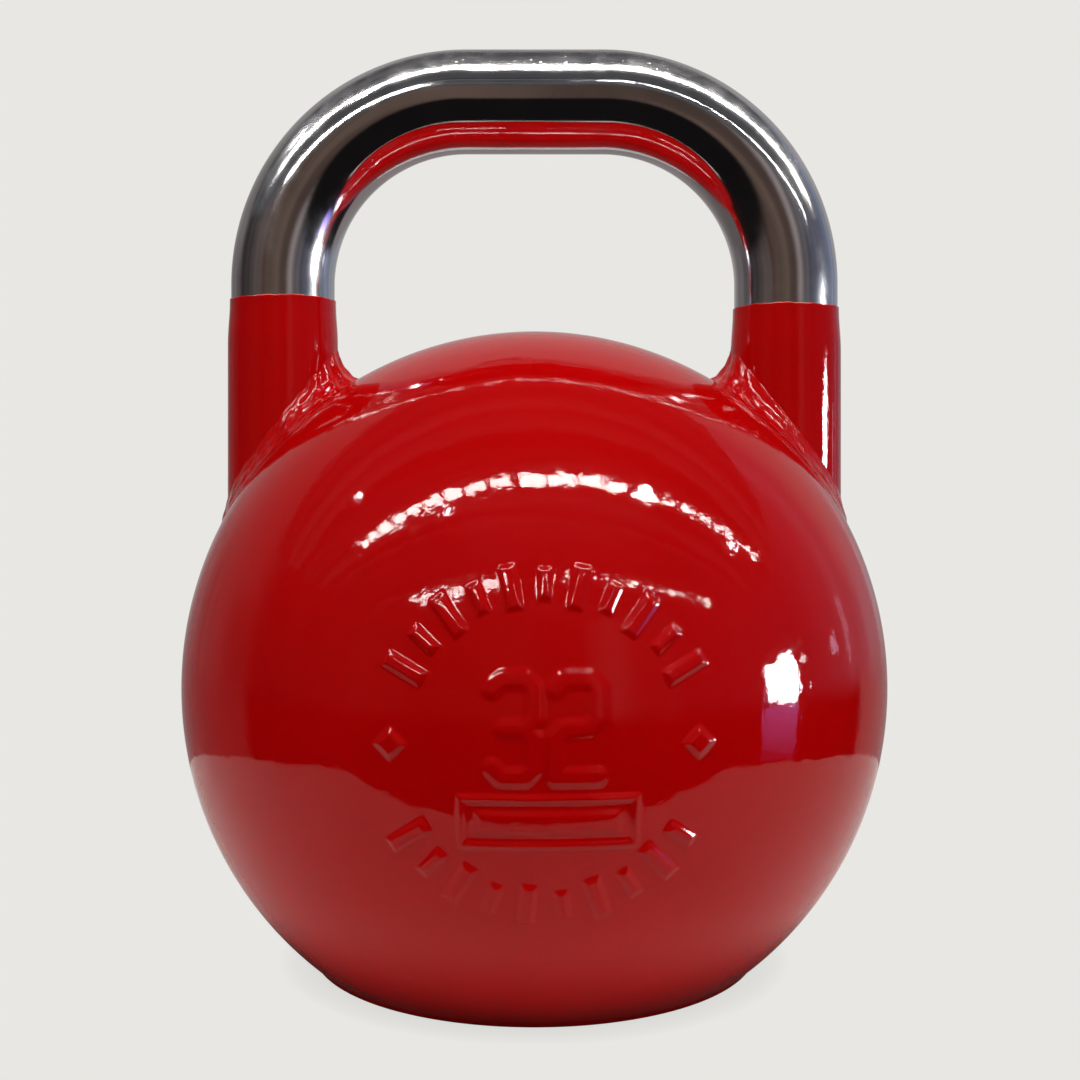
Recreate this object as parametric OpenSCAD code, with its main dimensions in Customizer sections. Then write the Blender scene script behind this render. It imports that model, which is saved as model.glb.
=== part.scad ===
// Competition kettlebell: a hollow steel ball with a welded loop handle, an iron core and a flat base.
// The origin is the centre of the base, +Z is up, +X runs along the handle and the front faces -Y.

/* [Ball] */
// Outside diameter of the ball
ball_d = 210; // [206:1:214]
// Thickness of the ball's wall
shell_t = 8; // [7:0.5:9]
// Diameter of the flat that the bell stands on
base_d = 130; // [128:1:134]

/* [Handle] */
// Height from the floor to the top of the handle
overall_h = 273.5; // [272:0.5:282]
// Diameter of the bare grip
grip_d = 31.2; // [30:0.1:32]
// Diameter of the painted horns
horn_d = 33.2; // [33:0.1:35]
// Distance between the two horns' axes
horn_span = 153.6; // [150:0.2:156]
// Radius of the handle's bends, to the bar's axis
bend_r = 56; // [50:0.5:58]
// Height of the left horn's top, where the paint ends
left_horn_top = 196.8; // [194:0.1:198]
// Height of the right horn's top, where the paint ends
right_horn_top = 194.4; // [194:0.1:198]
// Length over which a horn narrows to the grip's diameter
neck_l = 13; // [8:1:14]
// Diameter of the bar's turned ends inside the horns
spigot_d = 22; // [20:0.5:24]

/* [Horn welds] */
// Width of the weld along the ball
weld_w = 6.5; // [5:0.5:8]
// Height of the weld on the horn's front and back
weld_h = 6; // [5:0.5:8]
// Extra height of the weld where the horn faces the hand
weld_rise = 8; // [4:1:9]

/* [Raised marks] */
// Height of the raised marks above the ball
mark_h = 0.8; // [0.6:0.1:1.5]
// Weight of the bell in kilograms, as its two numerals show it
numerals = "32"; // ["16", "24", "32"]
// Radius of the ring of graduations
ring_r = 38; // [36:0.5:40]
// Number of graduations over the numerals
upper_ticks = 11; // [7:2:13]
// Number of graduations under the numerals
lower_ticks = 10; // [6:2:12]

/* [Base] */
// Height of the base ring's top above the floor
ring_top = 20; // [19:0.5:22]
// Depth of the closing plate's lower face above the floor
plate_z = 5; // [4.5:0.5:6]
// Thickness of the closing plate
plate_t = 6; // [5:0.5:6.5]
// Number of screws that hold the closing plate
screw_n = 6; // [4:1:8]

/* [Filling] */
// Diameter of the iron core, which sets the bell's weight
core_d = 180.9; // [150:0.1:190]

/* [Hidden] */
$fn = 180;

red = [0.62, 0.02, 0.02];
chrome = [0.75, 0.75, 0.76];
steel = [0.45, 0.45, 0.46];
iron = [0.23, 0.22, 0.22];
rubber = [0.06, 0.06, 0.06];
brass = [0.72, 0.55, 0.25];

fit = 0.05;
ball_r = ball_d / 2;
cavity_r = ball_r - shell_t;
base_r = base_d / 2;
ball_z = sqrt(ball_r * ball_r - base_r * base_r);
big = 2 * ball_d;

grip_r = grip_d / 2;
horn_r = horn_d / 2;
spigot_r = spigot_d / 2;
horn_x = horn_span / 2;
bend_x = horn_x - bend_r;
bend_z = overall_h - grip_r - bend_r;
horn_foot = ball_z + ball_r * 0.4;

seam_depth = 6;
seam_mouth = 3;
seam_root = 0.8;
ring_outer_r = sqrt(ball_r * ball_r - pow(ball_z - ring_top, 2));
ring_weld_depth = 5;

plate_r = 55.5;
recess_r = 56;
ring_bore_r = 45;
gasket_t = 1.5;
ledge_z = plate_z + plate_t + gasket_t;
screw_pcr = 50.5;
screw_r = 3;
screw_hole_r = 3.3;
screw_head_r = 6.2;
screw_head_h = 3.3;
screw_l = 13;
screw_hex_r = 2.3;
plug_r = 10;
plug_flange_r = 14;
plug_flange_h = 2.6;
plug_l = 9;
plug_hex_r = 5.8;
washer_t = 1;

core_r = core_d / 2;
core_z = ring_top + 1;
pocket_r = 22;
pocket_h = 22;
pad_r = 43;
pad_hole_r = 25;

// ---- helpers ----

// The ball's sphere of radius r, turned so that its poles lie clear of every cut
module ball(r) {
    translate([0, 0, ball_z]) rotate([90, 0, 45]) sphere(r);
}

// Everything above height z
module above(z) {
    translate([-big / 2, -big / 2, z]) cube([big, big, big]);
}

// Everything below height z
module below(z) {
    translate([-big / 2, -big / 2, z - big]) cube([big, big, big]);
}

// A round bar of radius r between two heights, on a horn's axis
module on_horn(side, r, z0, z1) {
    translate([side * horn_x, 0, z0]) cylinder(r = r, h = z1 - z0);
}

module ring_of(n, r) {
    for (i = [0 : n - 1]) rotate([0, 0, i * 360 / n]) translate([r, 0, 0]) children();
}

// A solid of revolution about the ball's upright axis, from the ball's centre plane profile of
// radius r above height z, turned through an angle
module ball_above(r, z, turn = 360) {
    translate([0, 0, ball_z]) rotate_extrude(angle = turn) intersection() {
        circle(r);
        translate([0, z - ball_z]) square([r, 2 * r]);
    }
}

// ---- ball ----

// The V groove that the seam weld fills, round the ball in the handle's plane
module seam_profile() {
    polygon([
        [ball_r - seam_depth, -seam_root],
        [ball_r + 1, -seam_mouth],
        [ball_r + 1, seam_mouth],
        [ball_r - seam_depth, seam_root]
    ]);
}

module seam_groove() {
    translate([0, 0, ball_z]) rotate([90, 0, 0]) rotate_extrude() seam_profile();
}

// The V groove between the ball and the base ring
module ring_profile() {
    polygon([
        [ring_outer_r - ring_weld_depth, ring_top - 0.6],
        [ring_outer_r + 4, ring_top - 3],
        [ring_outer_r + 4, ring_top + 4.2],
        [ring_outer_r - ring_weld_depth, ring_top + 0.6]
    ]);
}

module ring_groove() {
    rotate_extrude() ring_profile();
}

// The ball's wall above the base ring, turned through half a circle
module half_wall() {
    rotate_extrude(angle = 180) difference() {
        intersection() {
            translate([0, ball_z]) circle(ball_r);
            translate([0, ring_top]) square([ball_r, 2 * ball_r]);
        }
        translate([0, ball_z]) circle(cavity_r);
        ring_profile();
    }
}

// The seam groove and the holes for the bar's ends, which both half balls share
module shell_openings() {
    seam_groove();
    for (side = [-1, 1]) on_horn(side, spigot_r + fit, horn_foot, overall_h);
}

// Digits as closed outlines in a cell of w by h, with strokes of width s and cut corners c
function digit_1(w, h, s, c) = [[w / 2, 0], [w / 2 + s, 0], [w / 2 + s, h], [w / 2, h],
    [w / 2 - c, h - c], [w / 2 - c, h - c - s], [w / 2, h - c - s / 2]];
function digit_2(w, h, s, c) = [[0, 0], [w, 0], [w, s], [s, s], [s, h / 2 - s / 2 - c / 2],
    [s + c / 2, h / 2 - s / 2], [w - c, h / 2 - s / 2], [w, h / 2 - s / 2 + c], [w, h - c],
    [w - c, h], [c, h], [0, h - c], [0, h - s - c], [s, h - s - c], [s + c / 4, h - s],
    [w - s - c / 4, h - s], [w - s, h - s - c / 4], [w - s, h / 2 + s / 2 + c / 4],
    [w - s - c / 4, h / 2 + s / 2], [c, h / 2 + s / 2], [0, h / 2 + s / 2 - c]];
function digit_3(w, h, s, c) = [[c, 0], [w - c, 0], [w, c], [w, h / 2 - c / 2], [w - c / 2, h / 2],
    [w, h / 2 + c / 2], [w, h - c], [w - c, h], [c, h], [0, h - c], [0, h - s - c],
    [s, h - s - c], [s + c / 4, h - s], [w - s - c / 4, h - s], [w - s, h - s - c / 4],
    [w - s, h / 2 + s / 2 + c / 4], [w - s - c / 4, h / 2 + s / 2], [w / 3, h / 2 + s / 2],
    [w / 3, h / 2 - s / 2], [w - s - c / 4, h / 2 - s / 2], [w - s, h / 2 - s / 2 - c / 4],
    [w - s, s + c / 4], [w - s - c / 4, s], [s + c / 4, s], [s, s + c], [0, s + c], [0, c]];
function digit_4(w, h, s, c) = [[w - s - c, 0], [w - c, 0], [w - c, h / 3 - s / 2], [w, h / 3 - s / 2],
    [w, h / 3 + s / 2], [w - c, h / 3 + s / 2], [w - c, h], [w - s - c, h], [0, h / 3 + s / 2],
    [0, h / 3 - s / 2], [w - s - c, h / 3 - s / 2]];
function digit_6(w, h, s, c) = [[c, 0], [w - c, 0], [w, c], [w, h / 2 - c], [w - c, h / 2], [s, h / 2],
    [s, h - s - c / 4], [s + c / 4, h - s], [w - s, h - s], [w, h - s], [w, h - c], [w - c, h], [c, h],
    [0, h - c], [0, c]];

function digit(k, w, h, s, c) = k == "1" ? digit_1(w, h, s, c)
    : k == "2" ? digit_2(w, h, s, c)
    : k == "3" ? digit_3(w, h, s, c)
    : k == "4" ? digit_4(w, h, s, c)
    : digit_6(w, h, s, c);

module numeral_pair() {
    w = 12;
    h = 25;
    s = 4;
    c = 3;
    for (i = [0, 1]) translate([(i - 0.5) * (w + 3) - w / 2, 0]) difference() {
        polygon(digit(numerals[i], w, h, s, c));
        if (numerals[i] == "6") translate([s, s]) square([w - 2 * s, h / 2 - 2 * s]);
    }
}

// Graduations spread over an arc that is centred on the angle mid, long and short by turns
module tick_arc(n, mid, r) {
    step = 12.4;
    for (i = [0 : n - 1]) {
        long = (i % 2 == 0);
        rotate(mid + (i - (n - 1) / 2) * step) translate([r, 0])
            square([long ? 10 : 7, long ? 3.4 : 2.6], center = true);
    }
}

// A plain framed panel under the numerals, with a bar in it
module panel() {
    w = 43;
    h = 13;
    difference() {
        square([w, h], center = true);
        square([w - 3, h - 3], center = true);
    }
    square([w - 9, h - 8], center = true);
}

module marks_2d() {
    translate([2.5, -2]) {
        tick_arc(upper_ticks, 90, ring_r);
        tick_arc(lower_ticks, -90, ring_r + 1.5);
        for (side = [-1, 1]) translate([side * (ring_r - 1), 0]) rotate(45) square(5, center = true);
        translate([0, -8]) numeral_pair();
        translate([0.8, -18]) panel();
    }
}

module raised_marks() {
    depth = ball_r * 0.6;
    difference() {
        intersection() {
            translate([0, -depth, ball_z]) rotate([90, 0, 0]) linear_extrude(ball_r - depth + 5) marks_2d();
            ball(ball_r + mark_h);
        }
        ball(ball_r - shell_t / 2);
    }
}

module front_shell() {
    color(red) difference() {
        union() {
            rotate(180) half_wall();
            raised_marks();
        }
        shell_openings();
    }
}

module rear_shell() {
    color(red) mirror([0, 1, 0]) difference() {
        rotate(180) half_wall();
        shell_openings();
    }
}

module shell_seam_weld() {
    color(red) difference() {
        translate([0, 0, ball_z]) rotate([90, 0, 0]) rotate_extrude() intersection() {
            seam_profile();
            circle(ball_r);
        }
        below(ring_top);
        ring_groove();
        for (side = [-1, 1]) on_horn(side, spigot_r + fit, horn_foot, overall_h);
    }
}

// ---- handle ----

module handle_bar() {
    color(chrome) difference() {
        union() {
            translate([0, 0, bend_z + bend_r]) rotate([0, 90, 0])
                cylinder(r = grip_r, h = 2 * bend_x, center = true);
            for (side = [-1, 1]) {
                top = side < 0 ? left_horn_top : right_horn_top;
                translate([side * bend_x, 0, bend_z]) rotate([90, 0, side < 0 ? 180 : 0])
                    rotate_extrude(angle = 90) translate([bend_r, 0]) circle(grip_r);
                on_horn(side, grip_r, top, bend_z);
                on_horn(side, spigot_r, horn_foot, bend_z);
            }
        }
        ball(cavity_r);
    }
}

// A sleeve over the bar's end, cut to the ball below and narrowed to the grip above
module horn(side, top) {
    steps = 6;
    neck = [for (i = [0 : steps])
        [grip_r + (horn_r - grip_r) * (1 + cos(180 * i / steps)) / 2, top - neck_l + i * neck_l / steps]];
    difference() {
        translate([side * horn_x, 0, 0]) rotate_extrude() polygon(concat(
            [[spigot_r + fit, horn_foot], [horn_r, horn_foot]],
            neck,
            [[spigot_r + fit, top]]
        ));
        ball(ball_r);
    }
}

module left_horn() {
    color(red) horn(-1, left_horn_top);
}

module right_horn() {
    color(red) horn(1, right_horn_top);
}

// ---- horn welds ----
// The weld follows the curve where a horn meets the ball. At each angle round the horn its section
// runs from a point up the horn, over the weld's face, to a point out along the ball, and back
// along both surfaces.

// Where the horn meets the ball, from the ball's centre
function root(a) = let (x = horn_x + horn_r * cos(a), y = horn_r * sin(a))
    [x, y, sqrt(ball_r * ball_r - x * x - y * y)];

// 0 on the side away from the hand, 1 on the side that faces it
function inward(a) = pow((1 - cos(a)) / 2, 3);

// Direction along the ball, away from the horn
function along_ball(a) = let (n = root(a) / ball_r, r = [cos(a), sin(a), 0], t = r - (r * n) * n)
    t / norm(t);

function on_ball(p) = p * (ball_r + fit) / norm(p);

// A point of the weld's face between its two edges, drawn in towards the root
function face_point(up, p, out, t) = let (
        pull = 0.35,
        k_up = (1 - t) * (1 - t),
        k_root = 2 * pull * t * (1 - t),
        k_out = t * t
    ) (k_up * up + k_root * p + k_out * out) / (k_up + k_root + k_out);

function weld_section(a) = let (
        p = root(a) + fit * [cos(a), sin(a), 0],
        up = p + [0, 0, weld_h + weld_rise * inward(a)],
        reach = (weld_w + 2 * inward(a)) * along_ball(a)
    ) concat(
        [for (t = [0 : 0.25 : 1]) face_point(up, p, on_ball(p + reach), t)],
        [for (k = [0.75 : -0.25 : 0]) on_ball(p + k * reach)]
    );

module horn_weld() {
    turns = 60;
    sections = [for (i = [0 : turns - 1]) weld_section(i * 360 / turns)];
    m = len(sections[0]);
    translate([0, 0, ball_z]) polyhedron(
        points = [for (s = sections) for (p = s) p],
        faces = [for (i = [0 : turns - 1]) for (j = [0 : m - 1]) let (
                i2 = (i + 1) % turns,
                j2 = (j + 1) % m
            ) each [[i * m + j, i2 * m + j, i2 * m + j2], [i * m + j, i2 * m + j2, i * m + j2]]]
    );
}

module left_horn_weld() {
    color(red) mirror([1, 0, 0]) horn_weld();
}

module right_horn_weld() {
    color(red) horn_weld();
}

// ---- base ----

module base_ring() {
    color(red) difference() {
        rotate_extrude() difference() {
            intersection() {
                translate([0, ball_z]) circle(ball_r);
                square([ball_r, ring_top]);
            }
            square([recess_r, ledge_z]);
            square([ring_bore_r, ring_top]);
            ring_profile();
        }
        ring_of(screw_n, screw_pcr) translate([0, 0, plate_z]) cylinder(r = screw_r + fit, h = screw_l + 1);
    }
}

module base_ring_weld() {
    color(red) rotate_extrude() intersection() {
        ring_profile();
        translate([0, ball_z]) circle(ball_r);
    }
}

// A screw's countersunk outline, with its head's face at height 0
module screw_shape(shank_r, head_r, l) {
    rotate_extrude() polygon([[0, 0], [head_r, 0], [shank_r, screw_head_h], [shank_r, l], [0, l]]);
}

module closing_plate() {
    color(steel) difference() {
        translate([0, 0, plate_z]) cylinder(r = plate_r, h = plate_t);
        ring_of(screw_n, screw_pcr) translate([0, 0, plate_z])
            screw_shape(screw_hole_r, screw_head_r + 0.3, plate_t + 1);
        translate([0, 0, plate_z - 1]) cylinder(r = plug_r + fit, h = plate_t + 2);
    }
}

module plate_gasket() {
    color(rubber) difference() {
        translate([0, 0, plate_z + plate_t]) cylinder(r = plate_r, h = gasket_t);
        translate([0, 0, plate_z]) cylinder(r = ring_bore_r + 1, h = 2 * plate_t);
        ring_of(screw_n, screw_pcr) translate([0, 0, plate_z]) cylinder(r = screw_hole_r, h = 2 * plate_t);
    }
}

module plate_screws() {
    color(steel) ring_of(screw_n, screw_pcr) translate([0, 0, plate_z]) difference() {
        screw_shape(screw_r, screw_head_r, screw_l);
        translate([0, 0, -1]) cylinder(r = screw_hex_r, h = 3.4, $fn = 6);
    }
}

module fill_plug() {
    flange_z = plate_z - washer_t - plug_flange_h;
    color(steel) difference() {
        union() {
            translate([0, 0, flange_z]) cylinder(r = plug_flange_r, h = plug_flange_h);
            translate([0, 0, flange_z]) cylinder(r = plug_r, h = plug_flange_h + washer_t + plug_l);
        }
        translate([0, 0, flange_z - 1]) cylinder(r = plug_hex_r, h = 6, $fn = 6);
    }
}

module plug_washer() {
    color(brass) translate([0, 0, plate_z - washer_t]) difference() {
        cylinder(r = plug_flange_r - 0.5, h = washer_t);
        translate([0, 0, -1]) cylinder(r = plug_r + 0.2, h = washer_t + 2);
    }
}

// ---- filling ----

module ballast_core() {
    color(iron) difference() {
        ball_above(core_r, core_z);
        translate([0, 0, core_z - 1]) cylinder(r = pocket_r, h = pocket_h + 1);
    }
}

module trim_charge() {
    color(steel) translate([0, 0, core_z]) cylinder(r = pocket_r - 0.2, h = pocket_h - 0.2);
}

module core_pad() {
    pad_z = plate_z + plate_t;
    color(rubber) translate([0, 0, pad_z]) difference() {
        cylinder(r = pad_r, h = core_z - pad_z);
        translate([0, 0, -1]) cylinder(r = pad_hole_r, h = core_z);
    }
}

module filler_grout() {
    color("tan") translate([0, 0, ball_z]) rotate_extrude() difference() {
        intersection() {
            circle(cavity_r);
            translate([0, ring_top - ball_z]) square([cavity_r, 2 * cavity_r]);
        }
        intersection() {
            circle(core_r);
            translate([0, core_z - ball_z]) square([core_r, 2 * core_r]);
        }
        translate([0, ring_top - ball_z]) square([ring_bore_r, core_z - ring_top]);
    }
}

front_shell();
rear_shell();
shell_seam_weld();
handle_bar();
left_horn();
right_horn();
left_horn_weld();
right_horn_weld();
base_ring();
base_ring_weld();
closing_plate();
plate_gasket();
plate_screws();
fill_plug();
plug_washer();
ballast_core();
trim_charge();
core_pad();
filler_grout();
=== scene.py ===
"""Looks of a steel competition kettlebell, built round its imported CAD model.

Metres, in the CAD model's frame: +Z up, the front faces -Y and the base stands on Z = 0.
"""

import math

import bmesh
import bpy
import numpy as np
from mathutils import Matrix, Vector


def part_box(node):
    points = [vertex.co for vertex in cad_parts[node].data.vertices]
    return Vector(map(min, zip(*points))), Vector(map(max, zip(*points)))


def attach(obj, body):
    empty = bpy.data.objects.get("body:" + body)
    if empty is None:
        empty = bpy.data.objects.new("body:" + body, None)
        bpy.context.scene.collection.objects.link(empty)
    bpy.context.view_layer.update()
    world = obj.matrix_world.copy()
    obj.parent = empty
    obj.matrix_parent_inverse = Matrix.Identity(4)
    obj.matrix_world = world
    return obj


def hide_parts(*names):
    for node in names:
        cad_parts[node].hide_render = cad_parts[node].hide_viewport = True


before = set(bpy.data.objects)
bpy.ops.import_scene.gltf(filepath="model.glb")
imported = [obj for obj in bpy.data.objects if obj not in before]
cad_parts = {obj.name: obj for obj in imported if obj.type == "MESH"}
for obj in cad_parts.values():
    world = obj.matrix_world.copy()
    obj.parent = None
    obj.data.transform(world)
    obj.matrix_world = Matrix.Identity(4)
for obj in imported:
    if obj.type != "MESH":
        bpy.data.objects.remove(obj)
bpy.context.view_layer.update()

# ---- sizes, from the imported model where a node's box gives them ----

MM = 0.001
SEAM_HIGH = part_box("shell_seam_weld")[1]
BALL_R = SEAM_HIGH.x
BALL_Z = SEAM_HIGH.z - BALL_R
CAVITY_R = BALL_R - 8 * MM
BASE_R = math.sqrt(BALL_R**2 - BALL_Z**2)  # of the circle in which the ball meets the ground

BAR_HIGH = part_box("handle_bar")[1]
GRIP_R = BAR_HIGH.y
BAR_Z = BAR_HIGH.z - GRIP_R  # of the grip's axis
BEND_R = 56 * MM  # of the bar's axis
SPIGOT_R = 11 * MM  # of the turned-down ends inside the horns
HORN_LOW, HORN_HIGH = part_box("right_horn")
HORN_X = (HORN_LOW.x + HORN_HIGH.x) / 2
HORN_R = HORN_HIGH.y
BEND_X = HORN_X - BEND_R  # of the bends' centres
BEND_Z = BAR_Z - BEND_R
NECK = 13 * MM  # length over which a horn narrows to the grip
PAINT_EDGE = 0.4 * MM  # thickness of the paint's rounded end on the grip
HORN_TOPS = {-1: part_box("left_horn")[1].z, 1: HORN_HIGH.z}
HORN_HOLLOW_R = 14 * MM  # of the relief at the foot of a horn's bore

SEAM_HALF = 2.7 * MM  # half width at the ball's surface
SEAM_ROOT = 0.8 * MM  # half width at the root
SEAM_DEPTH = 6 * MM
RING_WELD = (18.4 * MM, 23.6 * MM)  # lower and upper edge
RING_WELD_IN = 79.4 * MM  # inner radius
PLATE_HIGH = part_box("closing_plate")[1]

MARK_H = 0.8 * MM
MARKS_AT = (2.5, -2.0)  # centre of the ring of marks, in mm from the ball's centre
TICK_STEP = 12.4  # degrees between graduations


# ---- materials ----


class Surface:
    """A Principled material, with short calls for the texture nodes that drive it."""

    def __init__(self, name, **values):
        self.material = bpy.data.materials.new(name)
        self.material.use_nodes = True
        self.tree = self.material.node_tree
        self.shader = self.tree.nodes["Principled BSDF"]
        for socket, value in values.items():
            self.shader.inputs[socket.replace("_", " ")].default_value = value
        self.place = self.tree.nodes.new("ShaderNodeTexCoord").outputs["Object"]

    def node(self, kind, inputs=None, **settings):
        made = self.tree.nodes.new(kind)
        for key, value in settings.items():
            setattr(made, key, value)
        for socket, value in (inputs or {}).items():
            self.feed(made.inputs[socket], value)
        return made

    def feed(self, socket, value):
        """Links another node's output to the socket, or sets the socket to a plain value."""
        if isinstance(value, bpy.types.NodeSocket):
            self.tree.links.new(value, socket)
        else:
            socket.default_value = value

    def stretched(self, x, y, z):
        """The object's coordinates, scaled along each axis."""
        made = self.node("ShaderNodeMapping", {"Vector": self.place, "Scale": (x, y, z)})
        return made.outputs["Vector"]

    def noise(self, size_mm, detail=2.0, roughness=0.5, place=None):
        """Cloudy noise, with lumps about size_mm apart."""
        inputs = {
            "Vector": place or self.place,
            "Scale": 1000.0 / size_mm,
            "Detail": detail,
            "Roughness": roughness,
        }
        return self.node("ShaderNodeTexNoise", inputs).outputs["Fac"]

    def cells(self, size_mm, place=None):
        """Distance to the nearest of scattered points, in cells."""
        inputs = {"Vector": place or self.place, "Scale": 1000.0 / size_mm}
        return self.node("ShaderNodeTexVoronoi", inputs).outputs["Distance"]

    def math(self, operation, a, b=0.0):
        return self.node("ShaderNodeMath", {0: a, 1: b}, operation=operation).outputs[0]

    def ramp(self, value, low, high, to_low=0.0, to_high=1.0):
        """Smooth step of value between low and high."""
        inputs = {"Value": value, "From Min": low, "From Max": high, "To Min": to_low, "To Max": to_high}
        return self.node("ShaderNodeMapRange", inputs, interpolation_type="SMOOTHSTEP").outputs["Result"]

    def blend(self, factor, a, b):
        """Colour a where factor is 0, colour b where it is 1."""
        made = self.node("ShaderNodeMix", {0: factor, 6: a, 7: b}, data_type="RGBA")
        return made.outputs[2]

    def axis(self, name):
        """One of the object's coordinates, by its letter."""
        return self.node("ShaderNodeSeparateXYZ", {0: self.place}).outputs[name]

    def colour(self, value):
        self.feed(self.shader.inputs["Base Color"], value)

    def rough(self, value):
        self.feed(self.shader.inputs["Roughness"], value)

    def bump(self, *heights):
        """Adds up (height, depth in mm) pairs as one chain of bumps."""
        normal = None
        for height, depth_mm in heights:
            inputs = {"Height": height, "Strength": 1.0, "Distance": depth_mm * MM}
            made = self.node("ShaderNodeBump", inputs)
            if normal is not None:
                self.feed(made.inputs["Normal"], normal)
            normal = made.outputs["Normal"]
        self.feed(self.shader.inputs["Normal"], normal)


def gloss_red(name, peel=0.03, hammered=0.0, worn_foot=False):
    """Gloss red enamel: orange peel, slow waviness, dust nibs and a few rubbed patches.

    The depths peel and hammered are in mm. With worn_foot, the face that stands on the ground is
    scuffed through to the steel here and there.
    """
    s = Surface(name, IOR=1.36)
    cloud = s.noise(38, 3)
    rubbed = s.ramp(s.noise(9, 6, 0.65), 0.60, 0.72)
    nib = s.ramp(s.cells(7.5), 0.035, 0.0)
    deep = s.blend(cloud, (0.57, 0.0004, 0.0008, 1), (0.65, 0.0008, 0.0014, 1))
    paint = s.blend(s.math("MULTIPLY", nib, 0.3), deep, (0.42, 0.01, 0.01, 1))
    gloss = s.math("ADD", s.ramp(s.noise(1.3, 4), 0.3, 0.8, 0.03, 0.06), s.math("MULTIPLY", rubbed, 0.05))
    if worn_foot:
        scuffs = s.ramp(s.noise(7, 8, 0.7), 0.53, 0.62)
        bare = s.math("MULTIPLY", scuffs, s.ramp(s.axis("Z"), 0.5 * MM, 0.2 * MM))
        paint = s.blend(bare, paint, (0.17, 0.165, 0.16, 1))
        gloss = s.math("ADD", gloss, s.math("MULTIPLY", bare, 0.3))
        s.feed(s.shader.inputs["Metallic"], bare)
    s.colour(paint)
    s.rough(gloss)
    heights = [
        (s.noise(2.2, 2, 0.55), peel * 0.9),
        (s.noise(5.5, 1), peel * 1.9),
        (s.noise(15, 1), peel * 1.6),
        (nib, 0.02),
    ]
    if hammered:
        heights.append((s.noise(1.3, 3, 0.55), hammered))
        heights.append((s.cells(4.5, s.stretched(1.0, 1.0, 0.6)), hammered * 1.4))
    s.bump(*heights)
    return s.material


def outward(s):
    """Distance from the bar's axis in the handle's plane, positive on the outside of the bends."""
    x = s.math("MAXIMUM", s.math("SUBTRACT", s.math("ABSOLUTE", s.axis("X")), BEND_X), 0.0)
    z = s.math("MAXIMUM", s.math("SUBTRACT", s.axis("Z"), BEND_Z), 0.0)
    length = s.math("SQRT", s.math("ADD", s.math("MULTIPLY", x, x), s.math("MULTIPLY", z, z)))
    return s.math("SUBTRACT", length, BEND_R)


def polished_chrome():
    """Chrome plate, hazed on the outside of the bends and peppered with dents along the grip's top."""
    s = Surface("polished_chrome", Metallic=1.0)
    straight = s.ramp(s.axis("Z"), BAR_Z + 3 * MM, BAR_Z + GRIP_R * 0.75)
    outer = s.ramp(outward(s), 3 * MM, GRIP_R * 0.75)
    top = s.math("MULTIPLY", outer, s.ramp(s.axis("Z"), BAR_Z - 45 * MM, BAR_Z - 20 * MM))
    dents = s.ramp(s.cells(1.3), 0.36, 0.05)
    patches = s.ramp(s.noise(8, 4, 0.6), 0.42, 0.60)
    hairs = s.noise(0.5, 3, 0.6, s.stretched(0.06, 1.0, 1.0))
    haze = s.noise(6, 5, 0.6)
    stain = s.ramp(s.noise(17, 4), 0.35, 0.75)
    s.colour(s.blend(stain, (0.66, 0.66, 0.67, 1), (0.58, 0.58, 0.60, 1)))
    worn = s.math("MULTIPLY", top, s.ramp(haze, 0.3, 0.7, 0.6, 1.0))
    legs = s.ramp(s.axis("Z"), BAR_Z - 15 * MM, BAR_Z - 45 * MM, 0.0, 0.06)
    polish = s.math("ADD", s.ramp(haze, 0.3, 0.8, 0.05, 0.10), legs)
    s.rough(s.math("ADD", polish, s.math("MULTIPLY", worn, 0.19)))
    s.bump(
        (s.math("MULTIPLY", s.math("MULTIPLY", dents, patches), straight), 0.09),
        (s.math("MULTIPLY", hairs, straight), 0.05),
        (s.noise(12, 1, 0.5, s.stretched(0.5, 1.0, 0.5)), 0.10),
        (s.noise(4, 2), 0.012),
    )
    return s.material


def turned_steel(name, colour, marks=0.5):
    """Zinc-plated steel, with lathe marks round the upright axis, about marks mm apart."""
    s = Surface(name, Metallic=1.0)
    flat = s.node("ShaderNodeVectorMath", {0: s.place, 1: (1, 1, 0)}, operation="MULTIPLY")
    radius = s.node("ShaderNodeVectorMath", {0: flat.outputs[0]}, operation="LENGTH").outputs["Value"]
    rings = s.node("ShaderNodeTexNoise", {"W": radius, "Scale": 1000 / marks}, noise_dimensions="1D")
    bloom = s.noise(12, 5, 0.6)
    dull = tuple(0.72 * c for c in colour)
    s.colour(s.blend(s.ramp(bloom, 0.35, 0.7), (*colour, 1), (*dull, 1)))
    s.rough(s.ramp(s.noise(2.2, 5), 0.25, 0.8, 0.28, 0.5))
    s.bump((rings.outputs["Fac"], 0.02), (s.noise(0.8, 4), 0.01))
    return s.material


def cast_iron():
    s = Surface("cast_iron", Metallic=0.6)
    grain = s.noise(1.6, 6, 0.7)
    s.colour(s.blend(s.ramp(grain, 0.3, 0.7), (0.045, 0.042, 0.040, 1), (0.11, 0.085, 0.065, 1)))
    s.rough(s.ramp(grain, 0.2, 0.8, 0.55, 0.85))
    s.bump((grain, 0.25), (s.cells(3.0), 0.2))
    return s.material


def moulded_rubber():
    s = Surface("moulded_rubber")
    grain = s.noise(0.7, 4)
    s.colour(s.blend(grain, (0.012, 0.012, 0.012, 1), (0.03, 0.03, 0.03, 1)))
    s.rough(s.ramp(grain, 0.2, 0.8, 0.6, 0.8))
    s.bump((grain, 0.05))
    return s.material


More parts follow.
